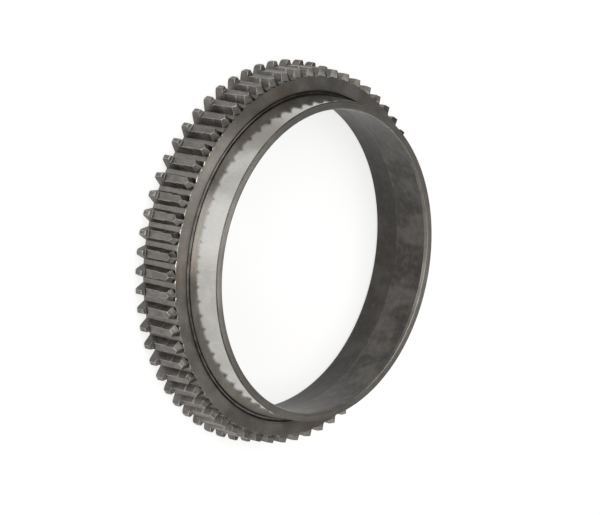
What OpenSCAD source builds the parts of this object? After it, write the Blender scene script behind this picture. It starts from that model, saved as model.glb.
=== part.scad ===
// Synchronizer flange: a one-piece hardened steel ring for a gearbox.
// Dog teeth with roof-shaped points run round the rear, a plain flange face
// closes them off, and a thin ground friction cone stands up from that face.
// The ring axis is Z, the toothed rear face lies on Z = 0, the cone points up.
// All lengths are millimetres.

/* [Teeth] */
// Number of dog teeth round the ring
teeth = 63; // [40:1:90]
// Module of the toothing: teeth times module is the pitch diameter
tooth_module = 2.5; // [2:0.1:3.2]
// Slope of each tooth flank against the tooth's centre line, degrees
flank_angle = 21; // [16:0.5:24]
// Depth of the tooth gaps below the pitch circle
dedendum = 2.25; // [1.8:0.05:2.6]
// Height of the full rear block of each tooth above the pitch circle
rear_addendum = 2.9; // [2.2:0.05:3.1]
// Height of the long front part of each tooth above the pitch circle
main_addendum = 0.95; // [0.5:0.05:1.6]
// Axial length of the full-height rear block
rear_block_len = 3.9; // [2:0.1:6]
// Edge break on the outer rear corner of the teeth
rear_edge = 0.7; // [0.2:0.05:0.9]
// Height above the rear face where the relieved flank begins
relief_from = 11.4; // [8:0.1:14]
// Depth of the flank relief (holds a shifted sleeve in gear)
relief_depth = 0.14; // [0.06:0.01:0.25]
// Half-angle of the roof-shaped tooth points, seen from outside, degrees
point_half_angle = 45; // [41:1:49]
// Fall of the roof ridge toward the flange face, degrees
point_slope = 29; // [25:1:33]
// Height above the rear face where the roof's planes would meet on the main land
point_z = 17.3; // [16.9:0.05:17.6]
// Fall of the turned chamfer from the flange face to the tips of the teeth
front_fall = 1.2; // [0.8:0.05:1.5]

/* [Flange] */
// Height of the flange face above the rear face
flange_len = 18.3; // [18:0.1:20]
// Width of the plain flange face from the tooth roots to the undercut
flange_face_w = 6.2; // [5.5:0.1:7.5]
// Edge break at the front end of each tooth gap
gap_edge = 0.45; // [0.3:0.05:0.6]

/* [Cone] */
// Overall height of the ring
total_len = 32.5; // [28:0.5:40]
// Half-angle of the ground friction cone, degrees
cone_half_angle = 7; // [5:0.25:9]
// Distance of the cone from the inner edge of the flange face
cone_inset = 1.2; // [1:0.05:1.4]
// Radial thickness of the cone wall
cone_wall = 3.7; // [3:0.1:5]
// Edge break round the outer edge of the rim
rim_edge = 0.3; // [0.1:0.05:0.6]
// Radius of the round undercut at the foot of the cone
undercut_r = 0.8; // [0.7:0.05:0.9]
// Height of the undercut's centre above the flange face
undercut_rise = 0.45; // [0.35:0.05:0.55]

/* [Bore] */
// Length of the lead chamfer inside the rim
lead_len = 1.4; // [0.5:0.1:2.5]
// Depth of that lead chamfer
lead_depth = 0.4; // [0.2:0.05:1]
// Chamfer of the bore at the rear face
rear_chamfer = 1.3; // [0.5:0.1:2]

/* [Hidden] */
$fn = 192;

pitch_r = teeth * tooth_module / 2;
root_r = pitch_r - dedendum;
rear_tip_r = pitch_r + rear_addendum;
main_tip_r = pitch_r + main_addendum;
pitch_deg = 360 / teeth;
half_deg = pitch_deg / 2;

// inner edge of the flange face, and the cone's radius at that height
face_in_r = root_r - flange_face_w;
cone_foot_r = face_in_r - cone_inset;

// outer and inner wall of the cone at a height z
function cone_r(z) = cone_foot_r - (z - flange_len) * tan(cone_half_angle);
function bore_r(z) = cone_r(z) - cone_wall;

// half the thickness of a tooth at a radius: tooth and gap are equal on the pitch circle
function tooth_half(r) = PI * tooth_module / 4 - (r - pitch_r) * tan(flank_angle);

// half section of the ring, tooth tips included
lead_z = total_len - lead_len;
rim_z = total_len - rim_edge;
step_edge = 0.3;
section = [
    [bore_r(rear_chamfer) + rear_chamfer, 0],
    [rear_tip_r - rear_edge, 0],
    [rear_tip_r, rear_edge],
    [rear_tip_r, rear_block_len - step_edge],
    [rear_tip_r - step_edge, rear_block_len],
    [main_tip_r + step_edge, rear_block_len],
    [main_tip_r, rear_block_len + step_edge],
    [main_tip_r, flange_len - front_fall],
    [root_r - 0.3, flange_len],
    [cone_foot_r, flange_len],
    [cone_r(rim_z), rim_z],
    [cone_r(rim_z) - rim_edge, total_len],
    [bore_r(lead_z) + lead_depth, total_len],
    [bore_r(lead_z), lead_z],
    [bore_r(rear_chamfer), rear_chamfer]
];

// outline of the toothing in plan; slim thins every tooth on both flanks
function tooth_corners(root, out, slim) = [
    [root, slim - tooth_half(root)], [out, slim - tooth_half(out)],
    [out, tooth_half(out) - slim], [root, tooth_half(root) - slim]];
function turned(p, a) = [p[0] * cos(a) - p[1] * sin(a), p[0] * sin(a) + p[1] * cos(a)];
function toothing(root, out, slim) = [
    for (i = [0 : teeth - 1]) for (p = tooth_corners(root, out, slim)) turned(p, i * pitch_deg)];

// one facet of a roof-shaped point is the plane
// ridge_k * (r - main_tip_r) + side_k * w + (z - point_z) = 0 in its tooth's own frame;
// the two facets that face one gap form a wedge, written here in the gap's frame
ridge_k = tan(point_slope);
side_k = 1 / tan(point_half_angle);
wedge_x = ridge_k * cos(half_deg) + side_k * sin(half_deg);
wedge_y = side_k * cos(half_deg) - ridge_k * sin(half_deg);
wedge_c = point_z + ridge_k * main_tip_r;
wedge_n = sqrt(1 + wedge_x * wedge_x);
wedge_w = main_tip_r * sin(half_deg) + 0.25;
wedge_s0 = wedge_c / wedge_n;
wedge_s1 = (wedge_x * (main_tip_r + 0.4) + flange_len + 0.4) / wedge_n;
wedge_mid = (wedge_x * flange_len - (root_r + main_tip_r) / 2) / wedge_n;
gap_half = root_r * sin(half_deg) - tooth_half(root_r);

// half section turned round the ring axis, with the round undercut at the cone's foot
module turned_blank() {
    rotate_extrude()
        difference() {
            polygon(section);
            translate([face_in_r - sqrt(undercut_r * undercut_r - undercut_rise * undercut_rise),
                       flange_len + undercut_rise])
                circle(r = undercut_r);
        }
}

// prism of all teeth: full flanks at the rear, relieved flanks in front
module tooth_prism() {
    translate([0, 0, -1])
        linear_extrude(height = relief_from + 1)
            polygon(toothing(root_r, rear_tip_r + 0.2, 0));
    translate([0, 0, relief_from])
        linear_extrude(height = total_len - relief_from + 1)
            polygon(toothing(root_r - 0.05, main_tip_r + 0.5, relief_depth));
}

// wedge that points the two teeth beside one gap
module point_wedge() {
    intersection() {
        rotate([0, -atan2(1, wedge_x), 0])
            translate([0, 0, wedge_mid])
                linear_extrude(height = 14, center = true)
                    polygon([
                        [wedge_s0, 0],
                        [wedge_s0 + wedge_w * wedge_y / wedge_n, -wedge_w],
                        [wedge_s1, -wedge_w],
                        [wedge_s1, wedge_w],
                        [wedge_s0 + wedge_w * wedge_y / wedge_n, wedge_w]]);
        translate([root_r + 0.1, -wedge_w - 1, flange_len - 8])
            cube([8, 2 * wedge_w + 2, 12]);
    }
}

// edge break at the front end of a gap's floor
module gap_front_edge() {
    rotate([90, 0, 0])
        linear_extrude(height = 2 * gap_half + 3.4, center = true)
            polygon([
                [root_r - gap_edge - 0.2, flange_len + 0.2],
                [root_r + 0.8, flange_len + 0.2],
                [root_r + 0.8, flange_len - gap_edge - 0.8]]);
}

module synchronizer_flange() {
    color([0.42, 0.41, 0.40])
        difference() {
            intersection() {
                turned_blank();
                tooth_prism();
            }
            for (i = [0 : teeth - 1])
                rotate([0, 0, i * pitch_deg + half_deg]) {
                    point_wedge();
                    gap_front_edge();
                }
        }
}

synchronizer_flange();
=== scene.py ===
import math
import random

import bmesh
import bpy
from mathutils import Matrix, Vector


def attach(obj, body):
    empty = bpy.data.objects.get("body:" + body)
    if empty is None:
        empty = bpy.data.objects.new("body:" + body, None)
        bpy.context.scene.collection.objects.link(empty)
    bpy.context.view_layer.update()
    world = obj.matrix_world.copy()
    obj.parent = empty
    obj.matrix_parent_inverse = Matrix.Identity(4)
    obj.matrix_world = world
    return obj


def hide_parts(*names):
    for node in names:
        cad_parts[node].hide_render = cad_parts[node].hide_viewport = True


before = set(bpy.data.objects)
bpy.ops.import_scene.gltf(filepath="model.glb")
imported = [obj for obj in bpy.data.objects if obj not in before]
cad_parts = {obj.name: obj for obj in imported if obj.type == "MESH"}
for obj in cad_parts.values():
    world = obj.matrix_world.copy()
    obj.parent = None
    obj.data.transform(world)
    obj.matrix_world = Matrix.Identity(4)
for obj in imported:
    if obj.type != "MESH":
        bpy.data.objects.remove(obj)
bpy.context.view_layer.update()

MM = 0.001
NODE = "synchronizer_flange"
rng = random.Random(63)

# ---------------------------------------------------------------- dimensions, mm
TEETH = 63
PITCH = 2 * math.pi / TEETH
HALF = PITCH / 2
PITCH_R = 78.75
R_ROOT = 76.5          # floor of the tooth gaps
R_REAR = 81.65         # tip of the full rear block
R_LAND = 79.7          # long main land
Z_STEP = 3.9           # end of the rear block
Z_JOG = 11.4           # flank relief
Z_FACE = 18.3          # flange face
Z_TOP = 32.5           # rim
R_FACE_IN = 70.3       # inner edge of the flange face
R_CONE_FOOT = 69.1     # cone radius at the height of the flange face
TAPER = math.tan(math.radians(7.0))
WALL = 3.7
FLANK = math.tan(math.radians(21.0))
GAP_EDGE = 0.30        # edge break at the front end of the gaps: down the floor
GAP_IN = 0.18          # and into the flange face
ARC = 8                # steps round the ring in one pitch


def cone_r(z):
    return R_CONE_FOOT - (z - Z_FACE) * TAPER


def bore_r(z):
    return cone_r(z) - WALL


def half_w(x):
    return math.pi * 2.5 / 4 - (x - PITCH_R) * FLANK


# material slots on the mesh
(M_FLANK, M_LAND, M_FACET, M_FACE, M_PAINTED_SHADE, M_CONE, M_RIM, M_BORE, M_REAR, M_EDGE,
 M_JOG, M_LEAD, M_ROOT) = range(13)


# ---------------------------------------------------------------- mesh
def build_ring():
    bm = bmesh.new()
    cache = {}

    def vert(ang, x, y, z):
        c, s = math.cos(ang), math.sin(ang)
        p = ((x * c - y * s) * MM, (x * s + y * c) * MM, z * MM)
        key = tuple(round(q * 2e6) for q in p)
        for dx in (0, -1, 1):
            for dy in (0, -1, 1):
                k = (key[0] + dx, key[1] + dy, key[2])
                if k in cache:
                    return cache[k]
        v = bm.verts.new(p)
        cache[key] = v
        return v

    def face(vs, mat, smooth=True):
        out = []
        for v in vs:
            if v not in out:
                out.append(v)
        if len(out) < 3:
            return None
        f = bm.faces.new(out)
        f.material_index = mat
        f.smooth = smooth
        return f

    def polar(a0, r, da, z):
        return vert(a0, r * math.cos(da), r * math.sin(da), z)

    # section of the plain turned part, from the flange face over the cone and down the bore
    sect = []

    def arc(cx, cz, r, a0, a1, n, mat):
        for k in range(n + 1):
            a = math.radians(a0 + (a1 - a0) * k / n)
            sect.append((cx + r * math.cos(a), cz + r * math.sin(a), mat))

    # round undercut: centre and radius as in the construction; it is painted dark as shade
    uc_r, uc_rise = 0.80, 0.45
    ux = R_FACE_IN - math.sqrt(uc_r ** 2 - uc_rise ** 2)
    uz = Z_FACE + uc_rise
    a_start = math.degrees(math.atan2(Z_FACE - uz, R_FACE_IN - ux))
    # where the undercut meets the cone
    lo, hi = 80.0, 200.0
    for _ in range(60):
        mid = (lo + hi) / 2
        a = math.radians(mid)
        inside = ux + uc_r * math.cos(a) > cone_r(uz + uc_r * math.sin(a))
        lo, hi = (mid, hi) if inside else (lo, mid)
    a_end = lo
    arc(ux, uz, uc_r, a_start, a_end - 360.0, 16, M_PAINTED_SHADE)
    z_foot = uz + uc_r * math.sin(math.radians(a_end))
    for k in range(1, 12):
        z = z_foot + 0.12 + (Z_TOP - 0.42 - z_foot - 0.12) * k / 11
        sect.append((cone_r(z), z, M_CONE))
    e = 0.36  # rounded outer edge of the rim, painted dark with the painted-shade steel of the undercut
    for k, d in enumerate((22, 45, 68, 90)):
        a = math.radians(d)
        sect.append((cone_r(Z_TOP - 0.42) - e * (1 - math.cos(a)) - 0.01, Z_TOP - e * (1 - math.sin(a)), M_PAINTED_SHADE))
    zl = Z_TOP - 1.4
    rl = bore_r(zl)
    sect.append((rl + 0.40 + 0.12, Z_TOP, M_RIM))
    sect.append((rl + 0.40, Z_TOP - 0.10, M_RIM))
    for k in range(1, 4):
        sect.append((rl + 0.40 * (1 - k / 3), Z_TOP - 0.10 + (zl - Z_TOP + 0.10) * k / 3, M_LEAD))
    for k in range(1, 13):
        z = zl + (1.30 - zl) * k / 12
        sect.append((bore_r(z), z, M_BORE))
    rr = bore_r(1.3)
    sect.append((rr + 1.18, 0.12, M_BORE))
    sect.append((rr + 1.36, 0.0, M_REAR))

    for i in range(TEETH):
        a0 = i * PITCH

        # small differences from tooth to tooth, as the cutter leaves them
        def j(s):
            return rng.uniform(-s, s)

        z_jog0 = Z_JOG - 0.45 + j(0.22)
        z_jog1 = z_jog0 + 0.70 + j(0.10)
        z_step = Z_STEP + j(0.06)
        land = R_LAND + j(0.03)
        cut = 0.26 + j(0.04)

        # profile of the tooth top, rear to front, with a small groove at the foot of the step, painted dark as shade
        # in the groove
        rc = 1.35
        prof = [(R_REAR - rc, 0.0, M_LAND)]
        for d in (18, 36, 54, 72, 90):
            t = math.radians(d)
            prof.append((R_REAR - rc + rc * math.sin(t), rc - rc * math.cos(t), M_LAND))
        tp = 0.42
        prof += [(R_REAR, z_step - tp, M_LAND), (R_REAR - tp * 0.11, z_step - tp * 0.45, M_LAND),
                 (R_REAR - tp * 0.45, z_step - tp * 0.11, M_LAND), (R_REAR - tp, z_step, M_LAND)]
        prof += [(land + 0.36, z_step, M_FLANK), (land + 0.04, z_step + 0.12, M_FLANK),
                 (land - 0.18, z_step + 0.32, M_PAINTED_SHADE), (land - 0.20, z_step + 0.62, M_PAINTED_SHADE),
                 (land, z_step + 0.92, M_FLANK), (land, z_jog0, M_LAND)]
        n_prof = len(prof)

        pm = [vert(a0, x, -half_w(x), z) for x, z, _ in prof]
        pp = [vert(a0, x, half_w(x), z) for x, z, _ in prof]
        for k in range(n_prof - 1):
            face([pm[k], pp[k], pp[k + 1], pm[k + 1]], prof[k + 1][2])

        hr, ht = half_w(R_ROOT), half_w(land)
        root0 = {s: vert(a0, R_ROOT, s * hr, 0.0) for s in (-1, 1)}
        root_r = {s: vert(a0, R_ROOT, s * hr, z_jog0) for s in (-1, 1)}
        root_f = {s: vert(a0, R_ROOT, s * (hr - cut * 0.6), z_jog1) for s in (-1, 1)}
        land_f = {s: vert(a0, land, s * (ht - cut), z_jog1) for s in (-1, 1)}
        land_r = {1: pp[-1], -1: pm[-1]}
        face([land_r[-1], land_r[1], land_f[1], land_f[-1]], M_LAND)

        # roof-shaped point: a slightly hollow facet on each side, deeper beside the flange on one of them and painted
        # dark there as shade, and between the two a narrow worn ridge
        zA = {s: 16.50 + j(0.10) for s in (-1, 1)}
        zB = {s: 15.90 + j(0.10) for s in (-1, 1)}
        z_tip = 17.40 + j(0.08)
        y_tip = 0.06 + j(0.02)
        y_root = 0.22 + j(0.06)
        stations = (0.0, 0.33, 0.67, 1.0)
        mid = (Z_FACE - GAP_EDGE - 16.50) / (Z_FACE - 16.50)
        grid = {}
        for sg in (-1, 1):
            hf0, hf1 = hr - 0.06, ht - 0.09
            g = []
            for s in stations:
                x = R_ROOT + (land - R_ROOT) * s
                yf, zf = hf0 + (hf1 - hf0) * s, zA[sg] + (zB[sg] - zA[sg]) * s
                ye, ze = y_root + (y_tip - y_root) * s, Z_FACE + (z_tip - Z_FACE) * s
                line = []
                for t in (0.0, mid, 1.0):
                    tt = (Z_FACE - GAP_EDGE - zf) / (Z_FACE - zf) if s == 0.0 and t == mid else t
                    deep = 0.30 if sg < 0 and s == stations[1] else 0.13
                    hollow = deep * math.sin(math.pi * tt) * math.sin(math.pi * s)
                    line.append(vert(a0, x - hollow * 0.5, sg * (yf + (ye - yf) * tt - hollow * 0.6),
                                     zf + (ze - zf) * tt - hollow * 0.6))
                g.append(line)
            grid[sg] = g
            for k in range(len(stations) - 1):
                for t in range(2):
                    quad = [g[k][t], g[k][t + 1], g[k + 1][t + 1], g[k + 1][t]]
                    # on the minus side the hollow beside the flange takes the dark painted-shade steel
                    face(quad if sg > 0 else quad[::-1], M_PAINTED_SHADE if sg < 0 and k == 0 else M_FACET)
        for k in range(len(stations) - 1):
            face([grid[1][k][2], grid[-1][k][2], grid[-1][k + 1][2], grid[1][k + 1][2]], M_FACET)
        # land in front of the relief
        face([land_f[-1], land_f[1], grid[1][-1][0], grid[1][-1][1], grid[1][-1][2],
              grid[-1][-1][2], grid[-1][-1][1], grid[-1][-1][0]], M_LAND)

        for sg in (-1, 1):
            flip = (lambda q: q) if sg > 0 else (lambda q: q[::-1])
            p = pp if sg > 0 else pm
            g = grid[sg]
            face(flip([root0[sg], root_r[sg]] + list(p[::-1])), M_FLANK)
            face(flip([root_r[sg], root_f[sg], land_f[sg], land_r[sg]]), M_JOG)
            face(flip([root_f[sg]] + [row[0] for row in g] + [land_f[sg]]), M_FLANK)
            # floor of the half gap beside this flank, with the edge break at its front end
            rg = math.hypot(R_ROOT, hr)
            gc0 = polar(a0, rg, sg * HALF, 0.0)
            gc1 = polar(a0, rg, sg * HALF, Z_FACE - GAP_EDGE)
            gct = polar(a0, rg - GAP_IN, sg * HALF, Z_FACE)
            A, G, E = g[0]
            # small pocket that the point cutter leaves beside the facet; its inner faces are painted dark as shade
            b_p = (2.55 + j(0.12)) / R_ROOT
            P = polar(a0, rg, sg * b_p, Z_FACE - GAP_EDGE)
            T = polar(a0, rg - GAP_IN, sg * b_p, Z_FACE)
            more = 0.20 if sg < 0 else 0.0
            x_h, y_h = R_ROOT - 0.44 - more + j(0.07), sg * (1.30 + j(0.15))
            H = vert(a0, x_h, y_h, Z_FACE)
            L = vert(a0, x_h + GAP_IN, y_h, Z_FACE - GAP_EDGE)
            Q = vert(a0, R_ROOT - 0.34 - more + j(0.05), sg * (1.40 + j(0.1)), Z_FACE - 0.85 - more + j(0.08))
            face(flip([root0[sg], gc0, gc1, P, A, root_f[sg], root_r[sg]]), M_ROOT)
            face(flip([P, gc1, gct, T]), M_EDGE)
            face(flip([P, T, H, L]), M_EDGE)
            face(flip([L, H, E]), M_EDGE)
            face(flip([A, P, Q]), M_PAINTED_SHADE)
            face(flip([P, L, Q]), M_PAINTED_SHADE)
            face(flip([Q, L, E]), M_PAINTED_SHADE)
            face(flip([A, Q, G]), M_PAINTED_SHADE)
            face(flip([G, Q, E]), M_PAINTED_SHADE)
            grid[sg].append((H, gct, gc0, T))

        # flange face and rear face
        gp, gm = grid[1], grid[-1]
        front = [gm[-1][1], gm[-1][3], gm[-1][0], gm[0][2], gp[0][2], gp[-1][0], gp[-1][3], gp[-1][1]]
        inner = [polar(a0, R_FACE_IN, HALF * (2 * k / ARC - 1), Z_FACE) for k in range(ARC + 1)]
        face(front + inner[::-1], M_FACE)
        back = [gm[-1][2], root0[-1], pm[0], pp[0], root0[1], gp[-1][2]]
        rin = sect[-1][0]
        inner0 = [polar(a0, rin, HALF * (2 * k / ARC - 1), 0.0) for k in range(ARC + 1)]
        face((back + inner0[::-1])[::-1], M_REAR)

        # the plain turned part
        for k in range(len(sect) - 1):
            r0, z0, _ = sect[k]
            r1, z1, m1 = sect[k + 1]
            for q in range(ARC):
                b0, b1 = HALF * (2 * q / ARC - 1), HALF * (2 * (q + 1) / ARC - 1)
                face([polar(a0, r0, b0, z0), polar(a0, r0, b1, z0),
                      polar(a0, r1, b1, z1), polar(a0, r1, b0, z1)], m1)

    bmesh.ops.recalc_face_normals(bm, faces=bm.faces)
    # rounded edges on the outer corners of the teeth
    weight = bm.edges.layers.float.new("bevel_weight_edge")
    turned = {M_PAINTED_SHADE, M_CONE, M_RIM, M_BORE, M_LEAD}
    for e in bm.edges:
        if len(e.link_faces) != 2:
            continue
        mats = {f.material_index for f in e.link_faces}
        ang = e.calc_face_angle(0.0)
        if ang > math.radians(28) and e.is_convex and not (mats & turned) and M_EDGE not in mats and mats != {M_FACET}:
            rear = all(math.hypot(v.co.x, v.co.y) > (R_LAND + 0.2) * MM for v in e.verts)
            e[weight] = 0.65 if rear else 0.5 if M_LAND in mats else 0.3
        limit = 10 if mats in ({M_LEAD, M_BORE}, {M_LEAD, M_RIM}) else 24
        if ang > math.radians(limit):
            e.smooth = False
    me = bpy.data.meshes.new("synchronizer_flange_body")
    bm.to_mesh(me)
    bm.free()
    ob = bpy.data.objects.new("synchronizer_flange_body", me)
    bpy.context.scene.collection.objects.link(ob)
    return ob


ring = build_ring()


# ---------------------------------------------------------------- materials
class Tree:
    """Small helper that adds nodes to one material."""

    def __init__(self, name):
        self.mat = bpy.data.materials.new(name)
        self.mat.use_nodes = True
        self.nt = self.mat.node_tree
        self.nt.nodes.clear()
        self.out = self.nt.nodes.new("ShaderNodeOutputMaterial")
        self.bsdf = self.nt.nodes.new("ShaderNodeBsdfPrincipled")
        self.nt.links.new(self.bsdf.outputs["BSDF"], self.out.inputs["Surface"])
        self.coord = self.nt.nodes.new("ShaderNodeTexCoord").outputs["Object"]

    def put(self, sock, value):
        if isinstance(value, bpy.types.NodeSocket):
            self.nt.links.new(value, sock)
        else:
            sock.default_value = value

    def math(self, op, a, b=None, c=None, clamp=False):
        n = self.nt.nodes.new("ShaderNodeMath")
        n.operation = op
        n.use_clamp = clamp
        for s, v in zip(n.inputs, (a, b, c)):
            if v is not None:
                self.put(s, v)
        return n.outputs[0]

    def sep(self, vec):
        n = self.nt.nodes.new("ShaderNodeSeparateXYZ")
        self.put(n.inputs[0], vec)
        return n.outputs

    def comb(self, x, y, z):
        n = self.nt.nodes.new("ShaderNodeCombineXYZ")
        for s, v in zip(n.inputs, (x, y, z)):
            self.put(s, v)
        return n.outputs[0]

    def scaled(self, vec, xyz):
        n = self.nt.nodes.new("ShaderNodeVectorMath")
        n.operation = "MULTIPLY"
        self.put(n.inputs[0], vec)
        n.inputs[1].default_value = xyz
        return n.outputs[0]

    def noise(self, vec, scale, detail=3.0, rough=0.55, dist=0.0):
        n = self.nt.nodes.new("ShaderNodeTexNoise")
        n.inputs["Scale"].default_value = scale
        n.inputs["Detail"].default_value = detail
        n.inputs["Roughness"].default_value = rough
        n.inputs["Distortion"].default_value = dist
        self.put(n.inputs["Vector"], vec)
        return n.outputs["Fac"]

    def ramp(self, fac, lo, hi, a=0.0, b=1.0, smooth=True):
        n = self.nt.nodes.new("ShaderNodeMapRange")
        n.interpolation_type = "SMOOTHSTEP" if smooth else "LINEAR"
        n.clamp = True
        self.put(n.inputs["Value"], fac)
        for k, v in zip(("From Min", "From Max", "To Min", "To Max"), (lo, hi, a, b)):
            self.put(n.inputs[k], v)
        return n.outputs["Result"]

    def mix(self, fac, a, b, kind="MIX"):
        n = self.nt.nodes.new("ShaderNodeMix")
        n.data_type = "RGBA"
        n.blend_type = kind
        self.put(n.inputs[0], fac)
        self.put(n.inputs[6], rgba(a))
        self.put(n.inputs[7], rgba(b))
        return n.outputs[2]

    def grain(self, col, lo, hi, scale=2300.0):
        """fine light and dark speckle over a colour"""
        n = self.noise(self.coord, scale, 2.0, 0.6)
        return self.mix(1.0, col, self.ramp(n, 0.3, 0.7, lo, hi, smooth=False), "MULTIPLY")

    def bump(self, height, strength, dist, normal=None):
        n = self.nt.nodes.new("ShaderNodeBump")
        n.inputs["Strength"].default_value = strength
        n.inputs["Distance"].default_value = dist
        self.put(n.inputs["Height"], height)
        if normal is not None:
            self.put(n.inputs["Normal"], normal)
        return n.outputs["Normal"]

    def turned_lines(self, amount):
        """stretch the reflections across the circular tool lines"""
        tan = self.nt.nodes.new("ShaderNodeTangent")
        tan.direction_type = "RADIAL"
        tan.axis = "Z"
        self.nt.links.new(tan.outputs[0], self.bsdf.inputs["Tangent"])
        self.bsdf.inputs["Anisotropic"].default_value = amount
        self.bsdf.inputs["Anisotropic Rotation"].default_value = 0.25

    def ring_coords(self):
        """radius, angle and height about the ring axis, in metres and radians"""
        s = self.sep(self.coord)
        r = self.math("SQRT", self.math("ADD", self.math("MULTIPLY", s[0], s[0]), self.math("MULTIPLY", s[1], s[1])))
        a = self.math("ARCTAN2", s[1], s[0])
        return r, a, s[2]

    def finish(self, color, rough, normal=None, metallic=1.0):
        b = self.bsdf
        self.put(b.inputs["Base Color"], rgba(color))
        self.put(b.inputs["Roughness"], rough)
        b.inputs["Metallic"].default_value = metallic
        if normal is not None:
            self.put(b.inputs["Normal"], normal)
        return self.mat


def rgba(c):
    if isinstance(c, bpy.types.NodeSocket):
        return c
    return (*c, 1.0) if len(c) == 3 else c


def steel_rough(name, dark, light, tint, streak_axis="z", rough=(0.36, 0.52), bump=0.12):
    """Hardened gun-metal steel with fine tool streaks, cloudy oxide tint and speckle."""
    t = Tree(name)
    cloud = t.noise(t.coord, 210.0, 4.0, 0.6)
    speck = t.noise(t.coord, 2600.0, 2.0, 0.5)
    k = {"z": (2600.0, 2600.0, 160.0), "none": (900.0, 900.0, 900.0)}[streak_axis]
    streak = t.noise(t.scaled(t.coord, k), 1.0, 3.0, 0.6)
    f = t.ramp(t.math("ADD", t.math("MULTIPLY", cloud, 0.6), t.math("MULTIPLY", streak, 0.4)), 0.34, 0.66)
    col = t.mix(f, dark, light)
    col = t.mix(t.ramp(t.noise(t.coord, 95.0, 3.0, 0.6), 0.48, 0.72, 0.0, 0.55), col, tint)
    col = t.mix(t.ramp(speck, 0.60, 0.78, 0.0, 0.30), col, tuple(0.45 * q for q in dark))
    col = t.grain(col, 0.74, 1.26)
    r = t.ramp(t.math("ADD", t.math("MULTIPLY", streak, 0.5), t.math("MULTIPLY", cloud, 0.5)), 0.3, 0.7, rough[0], rough[1])
    nrm = t.bump(t.math("ADD", t.math("MULTIPLY", streak, 0.6), t.math("MULTIPLY", speck, 0.5)), bump, 0.00012)
    return t.finish(col, r, nrm)


def mat_flank():
    return steel_rough("tooth_flank_steel", (0.10, 0.096, 0.092), (0.21, 0.20, 0.19), (0.15, 0.115, 0.10))


def mat_land():
    return steel_rough("tooth_land_steel", (0.122, 0.117, 0.109), (0.225, 0.216, 0.203), (0.165, 0.146, 0.128), rough=(0.48, 0.62))


def mat_facet():
    return steel_rough("tooth_point_steel", (0.098, 0.094, 0.088), (0.15, 0.144, 0.135), (0.115, 0.102, 0.089), "none", (0.28, 0.38), 0.08)


def mat_root():
    return steel_rough("tooth_root_steel", (0.176, 0.169, 0.159), (0.268, 0.258, 0.244), (0.20, 0.178, 0.157), rough=(0.44, 0.58))


def mat_face():
    t = Tree("turned_flange_steel")
    r, a, z = t.ring_coords()
    lines = t.noise(t.comb(t.math("MULTIPLY", r, 5200.0), t.math("MULTIPLY", a, 0.7), 0.0), 1.0, 3.0, 0.65)
    cloud = t.noise(t.coord, 60.0, 4.0, 0.6)
    speck = t.noise(t.coord, 1900.0, 2.0, 0.5)
    col = t.mix(t.ramp(cloud, 0.36, 0.66), (0.188, 0.179, 0.167), (0.272, 0.26, 0.243))
    col = t.mix(t.ramp(t.noise(t.coord, 38.0, 3.0, 0.6), 0.5, 0.72, 0.0, 0.6), col, (0.24, 0.20, 0.17))
    col = t.mix(t.ramp(speck, 0.62, 0.8, 0.0, 0.25), col, (0.10, 0.095, 0.09))
    # painted shade darkens the face along the undercut, at the foot of the cone
    col = t.mix(t.ramp(t.math("ADD", r, t.math("MULTIPLY", cloud, 0.0006)), 0.0703, 0.0720, 0.38, 0.0), col, (0.075, 0.069, 0.063))
    col = t.grain(col, 0.76, 1.24)
    rough = t.ramp(t.math("ADD", t.math("MULTIPLY", lines, 0.6), t.math("MULTIPLY", cloud, 0.4)), 0.3, 0.7, 0.34, 0.47)
    nrm = t.bump(t.math("ADD", lines, t.math("MULTIPLY", speck, 0.25)), 0.10, 0.00010)
    t.turned_lines(0.3)
    return t.finish(col, rough, nrm)


def mat_rear():
    t = Tree("turned_rear_steel")
    r, a, z = t.ring_coords()
    lines = t.noise(t.comb(t.math("MULTIPLY", r, 4200.0), t.math("MULTIPLY", a, 0.7), 0.0), 1.0, 3.0, 0.65)
    cloud = t.noise(t.coord, 70.0, 4.0, 0.6)
    col = t.mix(t.ramp(cloud, 0.36, 0.66), (0.17, 0.163, 0.155), (0.26, 0.25, 0.236))
    rough = t.ramp(t.math("ADD", t.math("MULTIPLY", lines, 0.6), t.math("MULTIPLY", cloud, 0.4)), 0.3, 0.7, 0.36, 0.5)
    nrm = t.bump(lines, 0.12, 0.00010)
    return t.finish(col, rough, nrm)


def mat_painted_shade():
    # dark steel as painted shade: in the undercut, the step grooves, the pockets and hollows at the points, and on the
    # rounded rim edge
    t = Tree("undercut_painted_shade_steel")
    r, a, z = t.ring_coords()
    cloud = t.noise(t.coord, 160.0, 4.0, 0.6)
    col = t.mix(t.ramp(cloud, 0.35, 0.68), (0.060, 0.057, 0.052), (0.112, 0.106, 0.098))
    rough = t.ramp(cloud, 0.3, 0.7, 0.27, 0.36)
    return t.finish(col, rough)


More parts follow.
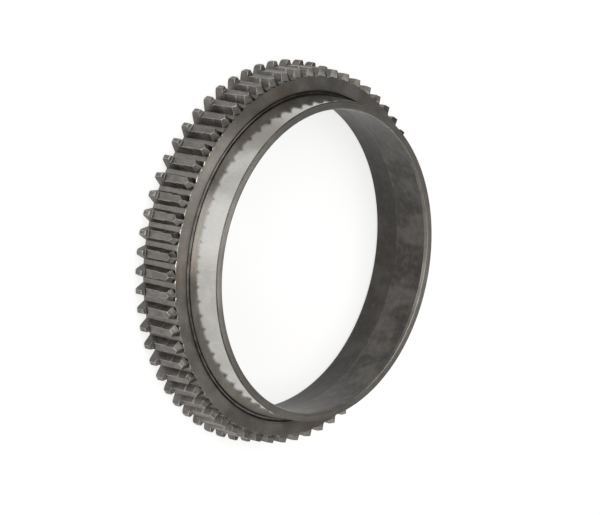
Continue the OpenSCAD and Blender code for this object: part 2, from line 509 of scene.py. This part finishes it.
def mat_cone():
    t = Tree("ground_cone_steel")
    r, a, z = t.ring_coords()
    # grinding lines run round the cone
    fine = t.noise(t.comb(t.math("MULTIPLY", a, 2.2), 0.0, t.math("MULTIPLY", z, 9000.0)), 1.0, 2.0, 0.7)
    band = t.noise(t.comb(t.math("MULTIPLY", a, 1.3), 3.0, t.math("MULTIPLY", z, 900.0)), 1.0, 3.0, 0.6)
    cloud = t.noise(t.coord, 85.0, 4.0, 0.6)
    stain = t.ramp(t.noise(t.coord, 320.0, 4.0, 0.65), 0.62, 0.80)
    col = t.mix(t.ramp(cloud, 0.34, 0.68), (0.405, 0.398, 0.376), (0.48, 0.473, 0.45))
    col = t.mix(t.math("MULTIPLY", stain, 0.45), col, (0.235, 0.225, 0.208))
    # painted darker reflection: a brown band round one side of the cone
    painted_dark_reflection = t.ramp(t.math("ABSOLUTE", t.math("SUBTRACT", t.math("ADD", a, t.math("MULTIPLY", cloud, 0.10)), 2.25)), 0.05, 0.25, 0.62, 0.0)
    col = t.mix(painted_dark_reflection, col, (0.17, 0.156, 0.136))
    # and a painted brighter reflection round another side
    painted_bright_reflection = t.ramp(t.math("ABSOLUTE", t.math("SUBTRACT", t.math("ADD", a, t.math("MULTIPLY", cloud, 0.10)), 2.95)), 0.09, 0.27, 0.8, 0.0)
    col = t.mix(painted_bright_reflection, col, (0.60, 0.594, 0.575))
    col = t.grain(col, 0.93, 1.07, 1700.0)
    rough = t.math("ADD", t.ramp(band, 0.3, 0.7, 0.11, 0.15), t.math("MULTIPLY", stain, 0.10))
    nrm = t.bump(fine, 0.045, 0.00006)
    t.turned_lines(0.4)
    return t.finish(col, rough, nrm)


def mat_rim():
    t = Tree("rim_steel")
    r, a, z = t.ring_coords()
    lines = t.noise(t.comb(t.math("MULTIPLY", r, 6000.0), t.math("MULTIPLY", a, 1.0), 0.0), 1.0, 3.0, 0.65)
    cloud = t.noise(t.coord, 110.0, 4.0, 0.6)
    col = t.mix(t.ramp(cloud, 0.35, 0.68), (0.23, 0.219, 0.205), (0.31, 0.297, 0.278))
    col = t.mix(t.ramp(lines, 0.40, 0.66, 0.0, 0.5), col, (0.37, 0.348, 0.318))
    rough = t.ramp(lines, 0.3, 0.7, 0.34, 0.46)
    nrm = t.bump(lines, 0.08, 0.00008)
    t.turned_lines(0.5)
    return t.finish(col, rough, nrm)


def mat_bore():
    t = Tree("stained_bore_steel")
    r, a, z = t.ring_coords()
    lines = t.noise(t.comb(t.math("MULTIPLY", a, 3.0), 0.0, t.math("MULTIPLY", z, 2600.0)), 1.0, 3.0, 0.65)
    # broad dry and oily patches, a fine cloud in them, scuffs and dust
    around = t.comb(t.math("MULTIPLY", t.math("COSINE", a), 5.2), t.math("MULTIPLY", t.math("SINE", a), 5.2),
                    t.math("MULTIPLY", z, 46.0))
    patch = t.noise(around, 1.0, 3.0, 0.55)
    cloud = t.noise(t.coord, 330.0, 5.0, 0.65)
    scuff = t.noise(t.scaled(t.coord, (240.0, 240.0, 900.0)), 1.0, 4.0, 0.6)
    dust = t.noise(t.coord, 1500.0, 2.0, 0.5)
    col = t.mix(t.ramp(patch, 0.41, 0.59), (0.052, 0.048, 0.044), (0.102, 0.096, 0.089))
    col = t.mix(t.ramp(cloud, 0.40, 0.70, 0.0, 0.38), col, (0.118, 0.111, 0.103))
    col = t.mix(t.ramp(cloud, 0.60, 0.32, 0.0, 0.30), col, (0.042, 0.039, 0.035))
    col = t.mix(t.ramp(scuff, 0.64, 0.76, 0.0, 0.45), col, (0.20, 0.192, 0.182))
    col = t.mix(t.ramp(dust, 0.71, 0.78, 0.0, 0.6), col, (0.26, 0.25, 0.24))
    # the rear zone is darker, up to a lighter line
    edge = t.math("ADD", z, t.math("MULTIPLY", t.math("SUBTRACT", cloud, 0.5), 0.0016))
    zone = t.ramp(edge, 0.0130, 0.0146)
    col = t.mix(zone, t.mix(0.55, col, (0.046, 0.042, 0.039)), col)
    line = t.ramp(t.math("ABSOLUTE", t.math("SUBTRACT", edge, 0.0142)), 0.00008, 0.00060, 0.30, 0.0)
    col = t.mix(t.math("MULTIPLY", line, t.ramp(scuff, 0.40, 0.60)), col, (0.17, 0.161, 0.150))
    rough = t.ramp(t.math("ADD", t.math("MULTIPLY", patch, 0.5), t.math("MULTIPLY", lines, 0.5)), 0.3, 0.7, 0.36, 0.54)
    nrm = t.bump(t.math("ADD", t.math("MULTIPLY", lines, 0.8), t.math("MULTIPLY", cloud, 0.3)), 0.09, 0.0001)
    return t.finish(col, rough, nrm)


def mat_lead():
    t = Tree("lead_chamfer_steel")
    r, a, z = t.ring_coords()
    lines = t.noise(t.comb(t.math("MULTIPLY", a, 4.0), 0.0, t.math("MULTIPLY", z, 3200.0)), 1.0, 3.0, 0.65)
    cloud = t.noise(t.coord, 140.0, 4.0, 0.6)
    col = t.mix(t.ramp(cloud, 0.36, 0.66), (0.16, 0.151, 0.14), (0.24, 0.228, 0.213))
    rough = t.ramp(lines, 0.3, 0.7, 0.34, 0.46)
    return t.finish(col, rough, t.bump(lines, 0.06, 0.00008))


def mat_edge():
    t = Tree("worn_edge_steel")
    wear = t.noise(t.coord, 420.0, 4.0, 0.65)
    col = t.mix(t.ramp(wear, 0.38, 0.62), (0.045, 0.044, 0.042), (0.25, 0.243, 0.23))
    rough = t.ramp(wear, 0.3, 0.7, 0.34, 0.27)
    return t.finish(col, rough)


def mat_jog():
    t = Tree("relief_ledge_steel")
    wear = t.noise(t.coord, 380.0, 4.0, 0.65)
    col = t.mix(t.ramp(wear, 0.34, 0.64), (0.19, 0.183, 0.174), (0.34, 0.33, 0.315))
    rough = t.ramp(wear, 0.3, 0.7, 0.40, 0.30)
    return t.finish(col, rough)


for maker in (mat_flank, mat_land, mat_facet, mat_face, mat_painted_shade, mat_cone, mat_rim, mat_bore,
              mat_rear, mat_edge, mat_jog, mat_lead, mat_root):
    ring.data.materials.append(maker())

bev = ring.modifiers.new("edge_round", "BEVEL")
bev.limit_method = "WEIGHT"
bev.offset_type = "OFFSET"
bev.width = 0.30 * MM
bev.segments = 3
bev.profile = 0.5
bev.use_clamp_overlap = False
bev.harden_normals = True
# the rounded edges are worn lighter
bev.material = M_JOG

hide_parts(NODE)
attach(ring, "root")

# ---------------------------------------------------------------- floor
fm = bpy.data.meshes.new("floor")
S = 6.0
fm.from_pydata([(-S, -S, 0), (S, -S, 0), (S, S, 0), (-S, S, 0)], [], [(0, 1, 2, 3)])
floor = bpy.data.objects.new("floor", fm)
floor.location = (0, 0, -0.00003)
bpy.context.scene.collection.objects.link(floor)
ft = Tree("pale_floor")
fc = ft.mix(ft.ramp(ft.noise(ft.coord, 9.0, 3.0, 0.5), 0.3, 0.7), (0.24, 0.24, 0.24), (0.26, 0.26, 0.26))
floor.data.materials.append(ft.finish(fc, 0.9, None, 0.0))
ft.bsdf.inputs["Specular IOR Level"].default_value = 0.0
ft.bsdf.inputs["Emission Color"].default_value = (1.0, 1.0, 1.0, 1.0)
ft.bsdf.inputs["Emission Strength"].default_value = 0.72

# ---------------------------------------------------------------- camera, from the fitted view
turn = Matrix.Rotation(math.radians(-3.236), 3, "Z")
U = 68.8 * MM
cam_pos = turn @ (Vector((-13.040, 1.693, 11.659)) * U)
right = (turn @ Vector((0.6629, 0.1103, 0.7405))).normalized()
back = (turn @ Vector((-0.7487, 0.0976, 0.6557))).normalized()
up = back.cross(right).normalized()
right = up.cross(back).normalized()
cam = bpy.data.cameras.new("camera")
cam.sensor_fit = "HORIZONTAL"
cam.sensor_width = 36.0
cam.lens = 171.0
cam.clip_start, cam.clip_end = 0.05, 50.0
cam_ob = bpy.data.objects.new("camera", cam)
m = Matrix((right, up, back)).transposed().to_4x4()
m.translation = cam_pos
cam_ob.matrix_world = m
bpy.context.scene.collection.objects.link(cam_ob)
bpy.context.scene.camera = cam_ob


# ---------------------------------------------------------------- light
world = bpy.data.worlds.new("studio")
bpy.context.scene.world = world
world.use_nodes = True
wn = world.node_tree
wn.nodes.clear()
w_out = wn.nodes.new("ShaderNodeOutputWorld")
w_bg = wn.nodes.new("ShaderNodeBackground")
wn.links.new(w_bg.outputs[0], w_out.inputs[0])
w_bg.inputs["Color"].default_value = (1.0, 0.985, 0.962, 1.0)
w_bg.inputs["Strength"].default_value = 0.22


def softbox(name, azimuth, elevation, width, height, radiance, dist=1.6):
    """soft light that faces the ring"""
    a, e = math.radians(azimuth), math.radians(elevation)
    d = turn @ Vector((math.cos(a) * math.cos(e), math.sin(a) * math.cos(e), math.sin(e)))
    light = bpy.data.lights.new(name, "AREA")
    light.shape = "RECTANGLE"
    light.size, light.size_y = width, height
    light.energy = math.pi * width * height * radiance
    light.color = (1.0, 0.983, 0.957)
    ob = bpy.data.objects.new(name, light)
    ob.location = d * dist + Vector((0, 0, 0.015))
    ob.rotation_mode = "QUATERNION"
    ob.rotation_quaternion = d.to_track_quat("Z", "Y")
    bpy.context.scene.collection.objects.link(ob)
    return ob


softbox("overhead", 0, 90, 1.15, 1.15, 3.4)
softbox("key_back", 102, 52, 1.15, 1.15, 2.7)
softbox("key_side", 174, 52, 1.15, 1.15, 0.5)
softbox("fill_low_a", 234, 22, 1.6, 1.0, 1.4)
softbox("fill_low_b", 292, 22, 1.6, 1.0, 1.7)
softbox("front_low", 170, 21, 1.5, 0.5, 7.0)

sc = bpy.context.scene
sc.view_settings.view_transform = "Standard"
sc.view_settings.look = "None"
sc.view_settings.exposure = 0.0
sc.view_settings.gamma = 1.0
